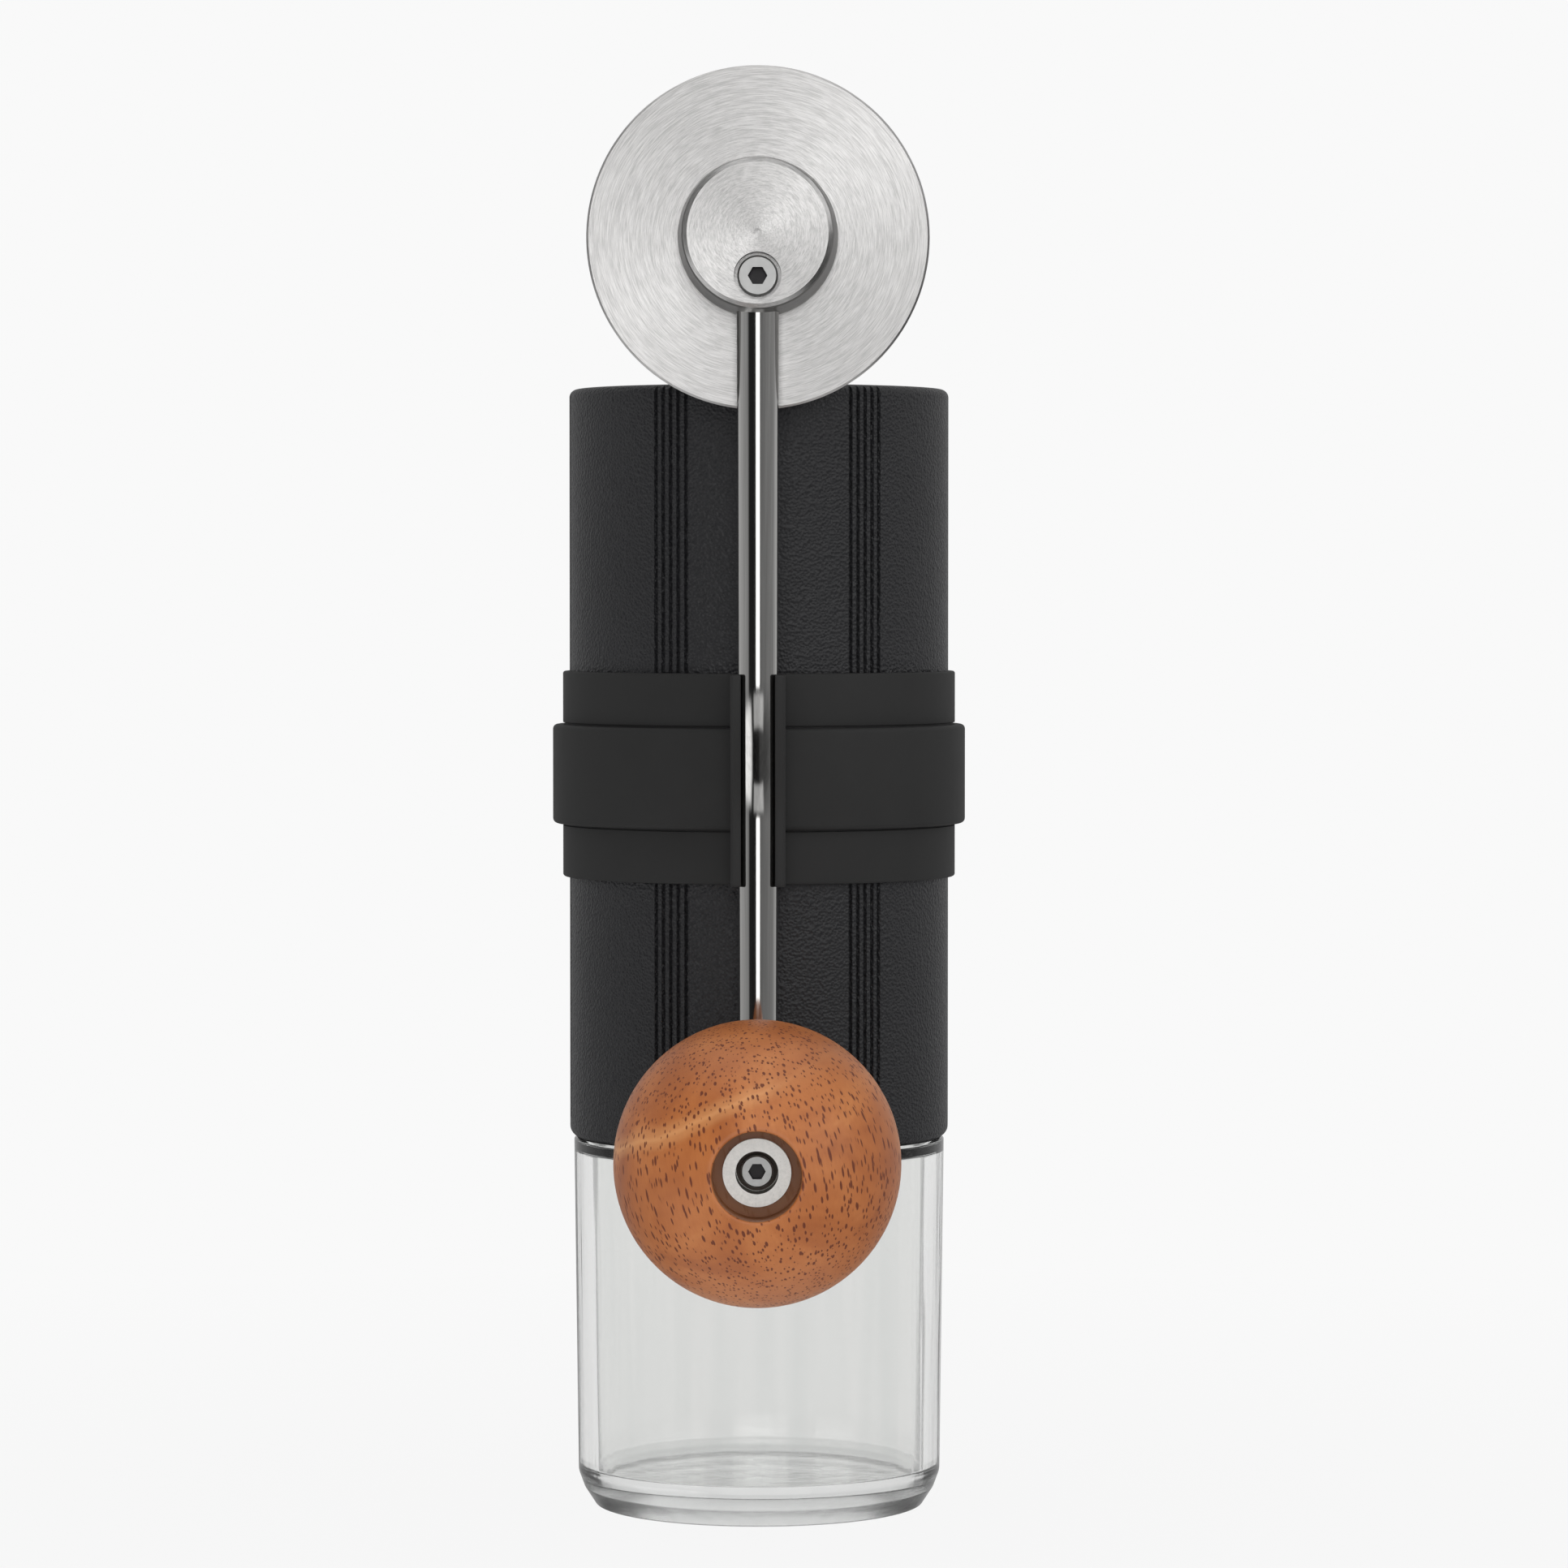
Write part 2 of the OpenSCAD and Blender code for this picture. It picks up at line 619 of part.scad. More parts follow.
outer_body();
grip_band();
upper_bridge();
upper_snap_ring();
upper_bearing_outer();
upper_bearing_balls();
upper_bearing_inner();
lower_bridge();
lower_snap_ring();
lower_bearing_outer();
lower_bearing_balls();
lower_bearing_inner();
burr_carrier();
carrier_screws();
ring_burr();
drive_shaft();
shaft_clips();
burr_drive_pin();
shaft_end_screw();
shaft_end_washer();
inner_burr();
burr_spring();
detent_balls();
adjust_dial();
catch_cup();
cup_seal();
lid_plate();
lid_gasket();
lid_bush();
crank_boss();
crank_arm();
arm_screw();
drive_socket();
knob_spindle();
knob_screw();
knob_washer();
knob_ball();
knob_sleeve();
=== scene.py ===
"""Looks of the hand grinder: meshes, materials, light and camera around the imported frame."""

import json
import math

import bmesh
import bpy
import numpy as np
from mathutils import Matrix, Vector

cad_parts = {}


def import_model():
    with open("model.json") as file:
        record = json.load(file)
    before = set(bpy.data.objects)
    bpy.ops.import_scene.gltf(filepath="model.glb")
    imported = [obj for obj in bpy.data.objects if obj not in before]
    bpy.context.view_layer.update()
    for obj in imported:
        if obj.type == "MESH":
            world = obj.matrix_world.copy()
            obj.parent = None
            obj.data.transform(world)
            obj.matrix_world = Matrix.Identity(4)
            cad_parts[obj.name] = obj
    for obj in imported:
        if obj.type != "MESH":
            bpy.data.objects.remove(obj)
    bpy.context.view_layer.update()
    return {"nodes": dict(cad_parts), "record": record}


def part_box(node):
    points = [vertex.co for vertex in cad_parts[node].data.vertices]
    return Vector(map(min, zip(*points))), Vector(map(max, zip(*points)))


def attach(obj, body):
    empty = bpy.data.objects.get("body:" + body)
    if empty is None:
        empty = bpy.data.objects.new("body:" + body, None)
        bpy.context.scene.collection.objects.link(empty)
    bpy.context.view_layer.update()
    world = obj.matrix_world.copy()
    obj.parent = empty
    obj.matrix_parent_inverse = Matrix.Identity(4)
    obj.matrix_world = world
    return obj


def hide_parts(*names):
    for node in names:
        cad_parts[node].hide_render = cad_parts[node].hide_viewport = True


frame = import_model()
NODES = frame["nodes"]
MM = 0.001


# ---- Places taken from the frame, in millimetres ----


def box(node):
    low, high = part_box(node)
    return low / MM, high / MM


def middle(node):
    low, high = box(node)
    return (low + high) / 2


def span(node):
    low, high = box(node)
    return high - low


LID = middle("lid_plate")
KNOB = middle("knob_sleeve")
KNOB_R = span("knob_ball").z / 2
BODY_R = span("outer_body").x / 2
BODY_BOTTOM = box("outer_body")[0].z
BAND_LOW, BAND_HIGH = box("grip_band")[0].z, box("grip_band")[1].z
BELT_R = box("grip_band")[1].x
AXIS = Vector((0, 0, 0))
OUT = Vector((0, -1, 0))
UP = Vector((0, 0, 1))


# ---- Mesh helpers ----


def rounded(corners, steps=6):
    """A closed outline from corners (x, y, radius): each corner is turned by an arc of that radius."""
    points = []
    count = len(corners)
    for i, (x, y, radius) in enumerate(corners):
        here = np.array((x, y), float)
        before = np.array(corners[i - 1][:2], float) - here
        after = np.array(corners[(i + 1) % count][:2], float) - here
        if radius <= 0:
            points.append(tuple(here))
            continue
        u, v = before / np.linalg.norm(before), after / np.linalg.norm(after)
        half = math.acos(max(-1, min(1, float(u @ v)))) / 2
        reach = min(radius / math.tan(half), 0.49 * min(np.linalg.norm(before), np.linalg.norm(after)))
        true_r = reach * math.tan(half)
        centre = here + (u + v) / np.linalg.norm(u + v) * true_r / math.sin(half)
        a, b = here + u * reach - centre, here + v * reach - centre
        turn = math.acos(max(-1, min(1, float(a @ b) / true_r**2)))
        for s in range(steps + 1):
            t = s / steps
            w = (math.sin((1 - t) * turn) * a + math.sin(t * turn) * b) / math.sin(turn)
            points.append(tuple(centre + w))
    return points


def finish_mesh(name, verts, faces, sharp=35):
    """An object from verts in mm, smooth but for edges sharper than the given angle in degrees."""
    mesh = bpy.data.meshes.new(name)
    mesh.from_pydata([tuple(Vector(v) * MM) for v in verts], [], faces)
    bm = bmesh.new()
    bm.from_mesh(mesh)
    bmesh.ops.remove_doubles(bm, verts=bm.verts, dist=1e-7)
    bmesh.ops.recalc_face_normals(bm, faces=bm.faces)
    bm.to_mesh(mesh)
    bm.free()
    mesh.shade_smooth()
    mesh.set_sharp_from_angle(angle=math.radians(sharp))
    piece = bpy.data.objects.new(name, mesh)
    bpy.context.scene.collection.objects.link(piece)
    return piece


def spun(name, outline, base, axis=UP, sides=256, sharp=35):
    """A closed (radius, height) outline in mm, spun about an axis through base."""
    axis = Vector(axis)
    side = axis.orthogonal().normalized()
    across = axis.cross(side)
    verts, rows, faces = [], [], []
    for r, h in outline:
        if r < 1e-6:
            verts.append(base + axis * h)
            rows.append([len(verts) - 1] * sides)
            continue
        start = len(verts)
        for k in range(sides):
            a = 2 * math.pi * k / sides
            verts.append(base + axis * h + (side * math.cos(a) + across * math.sin(a)) * r)
        rows.append(list(range(start, start + sides)))
    for i, row in enumerate(rows):
        following = rows[(i + 1) % len(rows)]
        for k in range(sides):
            m = (k + 1) % sides
            corners = list(dict.fromkeys((row[k], row[m], following[m], following[k])))
            if len(corners) > 2:
                faces.append(corners)
    return finish_mesh(name, verts, faces, sharp)


def lofted(name, rings, sharp=35):
    """A closed solid through rings of points, all with the same count."""
    sides = len(rings[0])
    verts = [p for ring in rings for p in ring]
    faces = [list(range(sides))[::-1], [(len(rings) - 1) * sides + j for j in range(sides)]]
    for i in range(len(rings) - 1):
        for j in range(sides):
            k = (j + 1) % sides
            faces.append([i * sides + j, i * sides + k, (i + 1) * sides + k, (i + 1) * sides + j])
    return finish_mesh(name, verts, faces, sharp)


# ---- Material helpers ----


class Nodes:
    """Short ways to add and join the nodes of a tree."""

    def __init__(self, tree):
        self.tree = tree

    def add(self, kind, **values):
        node = self.tree.nodes.new(kind)
        for key, value in values.items():
            setattr(node, key, value)
        return node

    def wire(self, node, key, value):
        if isinstance(value, bpy.types.NodeSocket):
            self.tree.links.new(value, node.inputs[key])
        else:
            node.inputs[key].default_value = value

    def math(self, operation, a, b=0.0, c=0.0):
        node = self.add("ShaderNodeMath", operation=operation)
        for i, value in enumerate((a, b, c)):
            self.wire(node, i, value)
        return node.outputs[0]

    def vector(self, operation, a, b=(0, 0, 0)):
        node = self.add("ShaderNodeVectorMath", operation=operation)
        self.wire(node, 0, a)
        self.wire(node, 1, b)
        return node.outputs["Value" if operation == "LENGTH" else "Vector"]

    def ramp(self, value, stops, ease="LINEAR"):
        """stops are (position, grey) or (position, (r, g, b))."""
        node = self.add("ShaderNodeValToRGB")
        node.color_ramp.interpolation = ease
        elements = node.color_ramp.elements
        while len(elements) < len(stops):
            elements.new(1.0)
        for element, (at, shade) in zip(elements, stops):
            element.position = at
            element.color = (*shade, 1) if isinstance(shade, tuple) else (shade, shade, shade, 1)
        self.wire(node, "Fac", value)
        return node.outputs["Color"]

    def mix(self, share, a, b, blend="MIX"):
        node = self.add("ShaderNodeMix", data_type="RGBA", blend_type=blend)
        self.wire(node, 0, share)
        self.wire(node, 6, (*a, 1) if isinstance(a, tuple) else a)
        self.wire(node, 7, (*b, 1) if isinstance(b, tuple) else b)
        return node.outputs[2]

    def remap(self, value, start, end, low, high, ease="LINEAR"):
        """low at start, high at end, held beyond both."""
        node = self.add("ShaderNodeMapRange", interpolation_type=ease)
        sockets = {"Value": value, "From Min": start, "From Max": end, "To Min": low, "To Max": high}
        for key, setting in sockets.items():
            self.wire(node, key, setting)
        return node.outputs[0]

    def window(self, value, centre, half, soft):
        """1 within half of centre, falling to 0 over soft."""
        away = self.math("ABSOLUTE", self.math("SUBTRACT", value, centre))
        return self.remap(away, half, half + soft, 1.0, 0.0, "SMOOTHSTEP")


class Finish(Nodes):
    """A node material around one Principled shader."""

    def __init__(self, name, **sockets):
        self.mat = bpy.data.materials.new(name)
        self.mat.use_nodes = True
        super().__init__(self.mat.node_tree)
        self.shader = self.tree.nodes["Principled BSDF"]
        for key, value in sockets.items():
            self.shader.inputs[key.replace("_", " ")].default_value = value
        self.object = self.add("ShaderNodeTexCoord").outputs["Object"]

    def placed(self, location=(0, 0, 0), turn=(0, 0, 0), scale=(1, 1, 1), vector=None):
        node = self.add("ShaderNodeMapping")
        self.wire(node, "Vector", vector or self.object)
        self.wire(node, "Location", location)
        self.wire(node, "Rotation", [math.radians(t) for t in turn])
        self.wire(node, "Scale", scale)
        return node.outputs[0]

    def noise(self, scale, detail=2.0, rough=0.5, vector=None, distort=0.0):
        node = self.add("ShaderNodeTexNoise")
        self.wire(node, "Vector", vector or self.object)
        self.wire(node, "Scale", scale)
        self.wire(node, "Detail", detail)
        self.wire(node, "Roughness", rough)
        self.wire(node, "Distortion", distort)
        return node.outputs["Fac"]

    def cells(self, scale, vector=None, feature="F1", smooth=None, output="Distance"):
        node = self.add("ShaderNodeTexVoronoi", feature=feature)
        self.wire(node, "Vector", vector or self.object)
        self.wire(node, "Scale", scale)
        if smooth is not None:
            self.wire(node, "Smoothness", smooth)
        return node.outputs[output]

    def colour(self, value):
        self.wire(self.shader, "Base Color", (*value, 1) if isinstance(value, tuple) else value)

    def rough(self, value, low, high):
        """Roughness from low to high as value goes from 0 to 1."""
        self.wire(self.shader, "Roughness", self.remap(value, 0.0, 1.0, low, high))

    def bump(self, height, depth, strength):
        """depth in metres."""
        node = self.add("ShaderNodeBump")
        self.wire(node, "Height", height)
        self.wire(node, "Distance", depth)
        self.wire(node, "Strength", strength)
        self.wire(self.shader, "Normal", node.outputs[0])

    def offset(self, centre):
        """The way from a centre in mm to the shaded point, in metres."""
        return self.vector("SUBTRACT", self.object, [c * MM for c in centre])

    def radius(self, centre, axis):
        """Distance from an axis (0 for x, 1 for y, 2 for z) through centre, in metres."""
        keep = [1, 1, 1]
        keep[axis] = 0
        return self.vector("LENGTH", self.vector("MULTIPLY", self.offset(centre), keep))

    def round_tangent(self, axis):
        """Brush direction in rings about an axis."""
        node = self.add("ShaderNodeTangent", direction_type="RADIAL", axis="XYZ"[axis])
        self.wire(self.shader, "Tangent", node.outputs[0])


def srgb(r, g, b):
    return tuple((c / 255 / 12.92) if c <= 10 else ((c / 255 + 0.055) / 1.055) ** 2.4 for c in (r, g, b))


# ---- Materials ----


def coated_body():
    """Fine leathery powder coat, satin."""
    f = Finish("body_coat", Specular_IOR_Level=0.42)
    pebble = f.cells(2300, feature="SMOOTH_F1", smooth=0.4)
    wrinkle = f.noise(1500, 3, 0.6, distort=0.6)
    tone = f.noise(60, 3, 0.5)
    f.colour(f.mix(tone, srgb(22, 22, 24), srgb(28, 28, 30)))
    f.rough(f.noise(900, 2), 0.36, 0.5)
    f.bump(f.math("ADD", pebble, f.math("MULTIPLY", wrinkle, 0.6)), 0.00022, 0.9)
    return f.mat


def silicone(name="silicone", low=(31, 31, 31), high=(37, 37, 37)):
    """Matte moulded rubber with a faint dusty bloom."""
    f = Finish(name, Specular_IOR_Level=0.22)
    bloom = f.noise(140, 4, 0.6)
    f.colour(f.mix(bloom, srgb(*low), srgb(*high)))
    f.rough(bloom, 0.55, 0.7)
    f.bump(f.noise(5200, 2, 0.6), 0.00001, 0.6)
    return f.mat


def cast_alloy():
    """Blasted casting, even and grey."""
    f = Finish("bridge_alloy", Metallic=1.0)
    grit = f.noise(3200, 3, 0.65)
    f.colour(f.ramp(f.noise(120, 3), [(0.3, srgb(150, 152, 154)), (0.7, srgb(178, 179, 181))]))
    f.rough(grit, 0.38, 0.55)
    f.bump(grit, 0.00003, 0.5)
    return f.mat


def turned(name, centre, axis, tone, pitch, low=0.2, high=0.34, depth=0.000006,
           anisotropic=0.0, swing=0.0):
    """Steel turned or brushed in rings about an axis; swing turns its bright fans, in whole turns."""
    f = Finish(name, Metallic=1.0, Anisotropic=anisotropic, Anisotropic_Rotation=swing)
    reach = f.radius(centre, axis)
    split = f.add("ShaderNodeSeparateXYZ")
    f.wire(split, 0, f.offset(centre))
    first, second = [i for i in range(3) if i != axis]
    sweep = f.math("ARCTAN2", split.outputs[first], split.outputs[second])
    polar = f.add("ShaderNodeCombineXYZ")
    f.wire(polar, 0, f.math("DIVIDE", reach, pitch))
    f.wire(polar, 1, f.math("MULTIPLY", sweep, 7.0))
    f.wire(polar, 2, f.math("DIVIDE", split.outputs[axis], pitch))
    lines = f.noise(1.0, 3, 0.7, vector=polar.outputs[0])
    coarse = f.noise(0.3, 2, 0.6, vector=polar.outputs[0])
    both = f.math("ADD", f.math("MULTIPLY", lines, 0.8), f.math("MULTIPLY", coarse, 0.2))
    light = tuple(min(1.0, c * 1.25) for c in tone)
    dark = tuple(c * 0.74 for c in tone)
    f.colour(f.ramp(both, [(0.38, dark), (0.5, tone), (0.62, light)]))
    f.rough(both, low, high)
    f.bump(both, depth, 0.5)
    if anisotropic:
        f.round_tangent(axis)
    return f.mat


def drawn_steel():
    """Polished round bar with faint draw marks along it."""
    f = Finish("polished_steel", Metallic=1.0)
    along = f.placed(scale=(1, 1, 0.02))
    marks = f.noise(2400, 3, 0.6, vector=along)
    haze = f.noise(70, 3, 0.5)
    f.colour(f.ramp(marks, [(0.3, srgb(196, 195, 193)), (0.7, srgb(214, 213, 211))]))
    f.rough(f.math("MULTIPLY", marks, haze), 0.085, 0.2)
    f.bump(marks, 0.0000012, 0.5)
    return f.mat


def oiled_wood():
    """Orange-brown hardwood: short dark pores along the grain, warmer and lighter zones, a satin oil."""
    f = Finish("knob_wood", Specular_IOR_Level=0.45, Coat_Weight=0.1, Coat_Roughness=0.35)
    centred = f.placed(location=tuple(-c * MM for c in KNOB))
    lean = f.placed(turn=(0, 13, 0), vector=centred)
    zones = f.noise(75, 3, 0.55, vector=lean, distort=1.2)
    ground = f.ramp(zones, [(0.28, srgb(140, 76, 32)), (0.46, srgb(161, 94, 44)),
                            (0.62, srgb(172, 105, 53)), (0.8, srgb(188, 124, 68))])
    fibre = f.noise(1.0, 4, 0.65, vector=f.placed(scale=(2600, 2600, 240), vector=lean))
    ground = f.mix(f.math("MULTIPLY", fibre, 0.5), ground, srgb(128, 66, 28))
    # a paler ray across the face, from low left to high right
    parts = f.add("ShaderNodeSeparateXYZ")
    f.wire(parts, 0, f.placed(location=(0, 0, -0.0104), turn=(0, 25, 0), vector=centred))
    drift = f.math("MULTIPLY", f.math("SUBTRACT", f.noise(90, 2), 0.5), 0.004)
    across = f.math("ABSOLUTE", f.math("ADD", parts.outputs[2], drift))
    streak = f.ramp(f.math("DIVIDE", across, 0.002), [(0.0, 0.5), (0.3, 0.28), (1.0, 0.0)], "EASE")
    streak = f.math("MULTIPLY", streak, f.remap(parts.outputs[0], 0.003, 0.011, 1.0, 0.15, "SMOOTHSTEP"))
    ground = f.mix(streak, ground, srgb(202, 150, 98))
    # open pores: short dark dashes along the grain, each with its own length and depth
    pore = 0.0
    for scale, width, shift in ((1450, 0.36, 0.0), (1750, 0.33, 0.37)):
        grain = f.placed(location=(shift, shift, shift), scale=(1, 1, 0.22), vector=lean)
        tone = f.add("ShaderNodeSeparateColor")
        f.wire(tone, 0, f.cells(scale, vector=grain, output="Color"))
        size = f.math("MULTIPLY_ADD", tone.outputs[0], width * 0.6, width * 0.5)
        depth = f.math("SUBTRACT", 1.0, f.math("DIVIDE", f.cells(scale, vector=grain), size))
        kept = f.math("GREATER_THAN", tone.outputs[1], 0.15)
        pore = f.math("MAXIMUM", pore, f.math("MULTIPLY", f.ramp(depth, [(0.0, 0.0), (0.3, 1.0)]), kept))
    # the drilled hole's wall is darker, partly as bare drilled wood and partly as painted shade inside
    # the hole, and its pores hardly show
    drilled_and_shade = f.window(f.radius(KNOB, 1), 0.0, 0.0061, 0.00015)
    ground = f.mix(drilled_and_shade, ground, srgb(122, 74, 36))
    showing = f.math("MULTIPLY", pore, f.math("SUBTRACT", 0.95, f.math("MULTIPLY", drilled_and_shade, 0.8)))
    f.colour(f.mix(showing, ground, srgb(88, 34, 8)))
    f.rough(f.math("ADD", f.math("MULTIPLY", zones, 0.5), f.math("MULTIPLY", pore, 0.5)), 0.42, 0.62)
    f.bump(f.math("SUBTRACT", f.math("MULTIPLY", fibre, 0.25), pore), 0.00004, 0.6)
    return f.mat


def clear_plastic():
    """Faint flow lines; a foot tinted greyer, which is painted shade for the dimmer look through the
    thick base, and rougher as if scuffed; and a dark line painted where the inner wall is seen edge on,
    which is painted shade.
    """
    f = Finish("clear_plastic", IOR=1.5, Transmission_Weight=1.0)
    flow = f.noise(1.0, 2, 0.5, vector=f.placed(scale=(260, 260, 14)))
    wall = f.ramp(flow, [(0.3, srgb(236, 237, 236)), (0.7, srgb(242, 242, 241))])
    parts = f.add("ShaderNodeSeparateXYZ")
    f.wire(parts, 0, f.object)
    foot = f.window(parts.outputs[2], 0, 0.0048, 0.0004)
    # painted shade: the foot's colour is tinted greyer for the dimmer look through the thick base; its
    # higher roughness below is scuffing
    wall = f.mix(foot, wall, srgb(222, 223, 222))
    # painted shade: the base colour turns dark where the inner wall is seen edge on, standing in for the
    # dark seen through the wall there
    edge_on_painted_shade = f.ramp(f.add("ShaderNodeLayerWeight").outputs["Facing"], [(0.72, 0.0), (0.82, 1.0)])
    inside = f.window(f.radius((0, 0, 0), 2), 0, 0.0252, 0.0001)
    inner_wall = f.math("MULTIPLY", inside, f.math("SUBTRACT", 1.0, foot))
    f.colour(f.mix(f.math("MULTIPLY", edge_on_painted_shade, inner_wall), wall, (0.08, 0.08, 0.08)))
    scuff = f.noise(1.0, 4, 0.7, vector=f.placed(turn=(0, 30, 0), scale=(900, 900, 120)))
    f.rough(f.math("ADD", f.math("MULTIPLY", scuff, 0.3), f.math("MULTIPLY", foot, 0.7)), 0.015, 0.16)
    f.bump(flow, 0.00012, 0.5)
    return f.mat


def plain_metal(name, tone, low, high, scale=1800):
    """Small steel part: fine machining haze and slight tone changes."""
    f = Finish(name, Metallic=1.0)
    haze = f.noise(scale, 3, 0.6)
    patches = f.noise(240, 2, 0.5)
    f.colour(f.mix(patches, tuple(c * 0.86 for c in tone), tuple(min(1, c * 1.1) for c in tone)))
    f.rough(haze, low, high)
    f.bump(haze, 0.00001, 0.5)
    return f.mat


def speckled_steel():
    """Sleeve: fine-ground face with small dark pits."""
    f = Finish("sleeve_steel", Metallic=1.0)
    pits = f.cells(2600)
    pit = f.ramp(pits, [(0.04, 1.0), (0.12, 0.0)])
    keep = f.math("GREATER_THAN", f.noise(700, 2), 0.56)
    pit = f.math("MULTIPLY", pit, keep)
    haze = f.noise(1500, 3, 0.6)
    base = f.ramp(haze, [(0.3, srgb(214, 212, 208)), (0.7, srgb(240, 238, 234))])
    f.colour(f.mix(pit, base, srgb(90, 84, 78)))
    f.rough(haze, 0.34, 0.5)
    f.bump(f.math("SUBTRACT", haze, pit), 0.00001, 0.6)
    return f.mat


def moulded_plastic(name, low, high):
    """Hard black plastic with a fine spark texture."""
    f = Finish(name, Specular_IOR_Level=0.45)
    grain = f.noise(2600, 2, 0.55)
    f.colour(f.mix(f.noise(90, 3), srgb(*low), srgb(*high)))
    f.rough(grain, 0.4, 0.55)
    f.bump(grain, 0.00001, 0.5)
    return f.mat


SLOT_LOOKS = {
    "body_coat": coated_body(),
    "silicone": silicone(),
    "bridge_alloy": cast_alloy(),
    "spring_steel": plain_metal("spring_steel", srgb(92, 90, 88), 0.32, 0.5),
    "bearing_steel": plain_metal("bearing_steel", srgb(186, 188, 192), 0.14, 0.26),
    "ball_steel": plain_metal("ball_steel", srgb(208, 209, 212), 0.05, 0.12),
    "black_screw": plain_metal("black_screw", srgb(54, 53, 54), 0.3, 0.48),
    "burr_steel": plain_metal("burr_steel", srgb(150, 150, 153), 0.24, 0.42, 900),
    "shaft_steel": turned("shaft_steel", (0, 0, 100), 2, srgb(190, 191, 194), 0.0002),
    "spring_wire": plain_metal("spring_wire", srgb(182, 183, 187), 0.16, 0.3),
    "dial_plastic": moulded_plastic("dial_plastic", (24, 24, 25), (33, 33, 34)),
    "clear_plastic": clear_plastic(),
    "seal_silicone": silicone("seal_silicone", (168, 170, 168), (190, 191, 189)),
    "brushed_steel": turned("brushed_steel", LID, 1, srgb(190, 189, 188), 0.00013, 0.26, 0.42, 0.00001,
                            anisotropic=0.65, swing=-0.1),
    "gasket_rubber": silicone("gasket_rubber", (34, 34, 34), (46, 46, 46)),
    "bush_plastic": moulded_plastic("bush_plastic", (22, 22, 23), (31, 31, 32)),
    "turned_steel": turned("turned_steel", LID, 1, srgb(178, 177, 176), 0.00016, 0.22, 0.38, 0.00001,
                           anisotropic=0.75, swing=-0.1),
    "polished_steel": drawn_steel(),
    "screw_steel": plain_metal("screw_steel", srgb(168, 168, 167), 0.28, 0.42),
    "washer_dark": plain_metal("washer_dark", srgb(62, 56, 52), 0.35, 0.5),
    "knob_wood": oiled_wood(),
    "sleeve_steel": speckled_steel(),
}


def dress(obj, slot):
    obj.data.materials.clear()
    obj.data.materials.append(SLOT_LOOKS[slot])


for entry in frame["record"]["subparts"]:
    dress(NODES[entry["node"]], entry["material_slot"])


def placed(piece, body, slot, *stands_for):
    """Finish a new piece: its material, its body and the CAD nodes it stands for."""
    dress(piece, slot)
    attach(piece, body)
    if stands_for:
        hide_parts(*stands_for)


# ---- Crank arm: a round bar with a double bend ----

# the bar thins a little from the boss to the knob; the bends start 62.5 mm below the plate's middle
ROOT_R, BAR_R, TIP_R = 3.0, 2.86, 2.74
ARM_HIGH_Y = box("crank_arm")[0].y + ROOT_R
ARM_LOW_Y = box("crank_arm")[1].y - BAR_R
ARM_TOP = box("crank_arm")[1].z
EYE_Z = KNOB.z
BEND_TOP = LID.z - 62.5
BEND_RUN = 20.6
BEND_TURN = math.radians(18)
BEND_R = ((BEND_RUN * math.tan(BEND_TURN) - (ARM_LOW_Y - ARM_HIGH_Y)) * math.cos(BEND_TURN)
          / (2 * (1 - math.cos(BEND_TURN))))


def arm_line():
    """The bar's middle from top to bottom, as rows of (y, z, slope, radius)."""
    upper, arc, lower = 12, 14, 8
    rows = []
    for i in range(upper):
        z = ARM_TOP + (BEND_TOP - ARM_TOP) * i / upper
        rows.append((ARM_HIGH_Y, z, 0.0, ROOT_R + (BAR_R - ROOT_R) * i / upper))
    for i in range(arc + 1):
        t = BEND_TURN * i / arc
        rows.append((ARM_HIGH_Y + BEND_R * (1 - math.cos(t)), BEND_TOP - BEND_R * math.sin(t), t, BAR_R))
    bend_end = BEND_TOP - BEND_RUN
    for i in range(arc, -1, -1):
        t = BEND_TURN * i / arc
        rows.append((ARM_LOW_Y - BEND_R * (1 - math.cos(t)), bend_end + BEND_R * math.sin(t), t, BAR_R))
    for i in range(1, lower + 1):
        t = i / lower
        rows.append((ARM_LOW_Y, bend_end + (EYE_Z + 1 - bend_end) * t, 0.0, BAR_R + (TIP_R - BAR_R) * t))
    return rows


def crank_arm():
    """The bar, and the flat-sided eye that the knob's spindle goes through."""
    sides = 96
    turns = [2 * math.pi * k / sides for k in range(sides)]
    rings = []
    for y, z, slope, r in arm_line():
        front = Vector((0, -math.cos(slope), -math.sin(slope)))
        rings.append([Vector((r * math.cos(a), y, z)) + front * (r * math.sin(a)) for a in turns])
    placed(lofted("arm_bar", rings, 50), "crank", "polished_steel", "crank_arm")
    eye_r, bore, thick = 5.5, 2.1, TIP_R + 2.8
    outline = rounded([(bore, 0, 0.2), (eye_r, 0, 0.6), (eye_r, thick, 0.6), (bore, thick, 0.2)])
    eye = spun("arm_eye", outline, Vector((0, ARM_LOW_Y + TIP_R, EYE_Z)), OUT, 128)
    placed(eye, "crank", "polished_steel", "crank_arm")


# ---- Silicone band and the clip on its front ----


